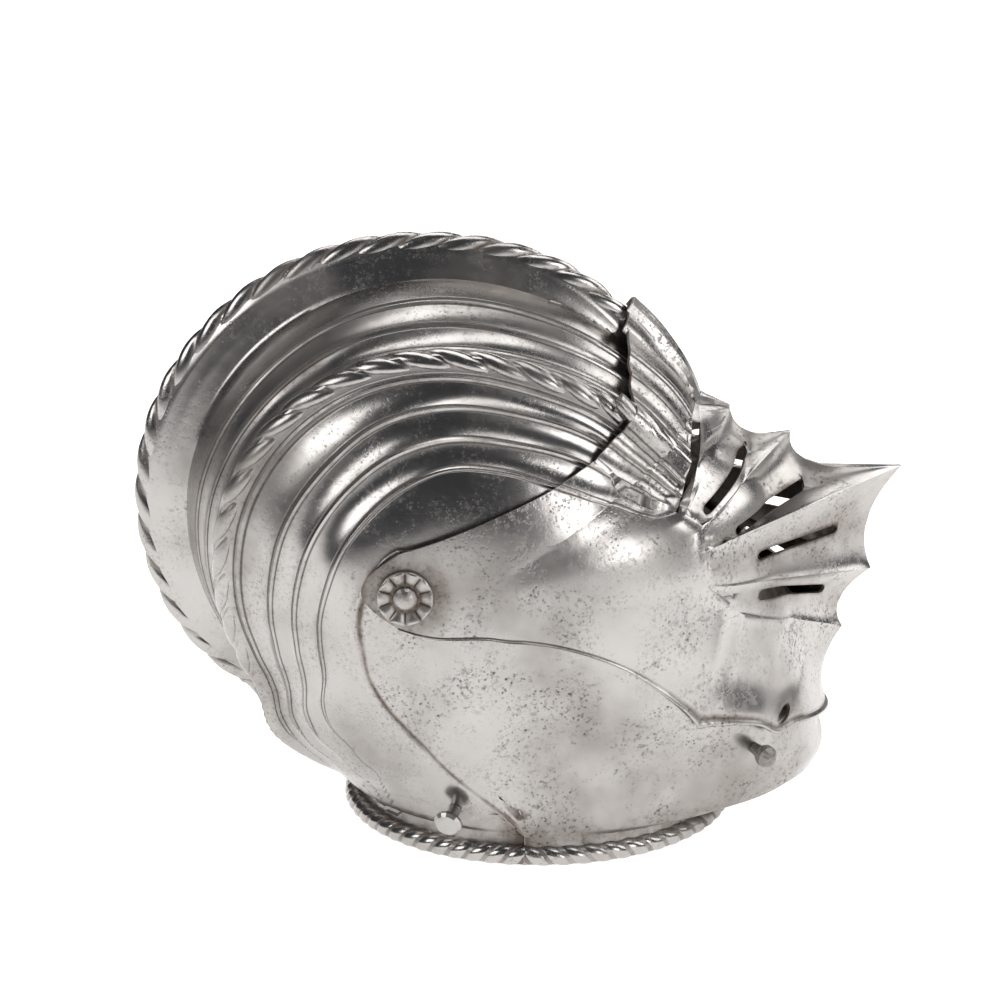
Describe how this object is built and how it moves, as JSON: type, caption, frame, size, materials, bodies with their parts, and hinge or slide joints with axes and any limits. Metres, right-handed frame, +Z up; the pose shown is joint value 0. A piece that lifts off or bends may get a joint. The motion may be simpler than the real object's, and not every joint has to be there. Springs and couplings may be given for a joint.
{
  "type": "close helmet",
  "caption": "Fluted steel close helmet with roped middle and side combs, a bevor over the chin and a pointed bellows visor with sight and breath slots, both turning on side pivots.",
  "frame": {"origin": "centre of the bounding box at the plane that the neck's rim stands on", "axes": "+X towards the point of the visor, +Y towards the wearer's left, +Z up"},
  "size_m": [0.368, 0.2134, 0.2847],
  "materials": {
    "skull": "polished, finely pitted, brown patina in the recesses",
    "bevor": "polished, finely pitted",
    "visor": "polished, finely pitted, brown patina in the recesses",
    "rosette_right": "worn, brown patina in the grooves",
    "rosette_left": "worn, brown patina in the grooves",
    "pivot_rivet_right": "worn, brown patina",
    "pivot_rivet_left": "worn, brown patina",
    "skull_stud": "worn, brown patina",
    "bevor_stud": "worn, brown patina"
  },
  "bodies": {
    "skull": {"skull": "skull", "rosette_right": "rosette_right", "rosette_left": "rosette_left", "pivot_rivet_right": "pivot_rivet_right", "pivot_rivet_left": "pivot_rivet_left", "skull_stud": "skull_stud"},
    "bevor": {"bevor": "bevor", "bevor_stud": "bevor_stud"},
    "visor": {"visor": "visor"}
  },
  "joints": [
    {"name": "bevor_hinge", "type": "hinge", "parent": "skull", "child": "bevor", "pos_m": [-0.052, 0, 0.137], "axis": [0, -1, 0], "range_deg": [0, 50]},
    {"name": "visor_hinge", "type": "hinge", "parent": "bevor", "child": "visor", "pos_m": [-0.052, 0, 0.137], "axis": [0, -1, 0], "range_deg": [0, 60]}
  ]
}
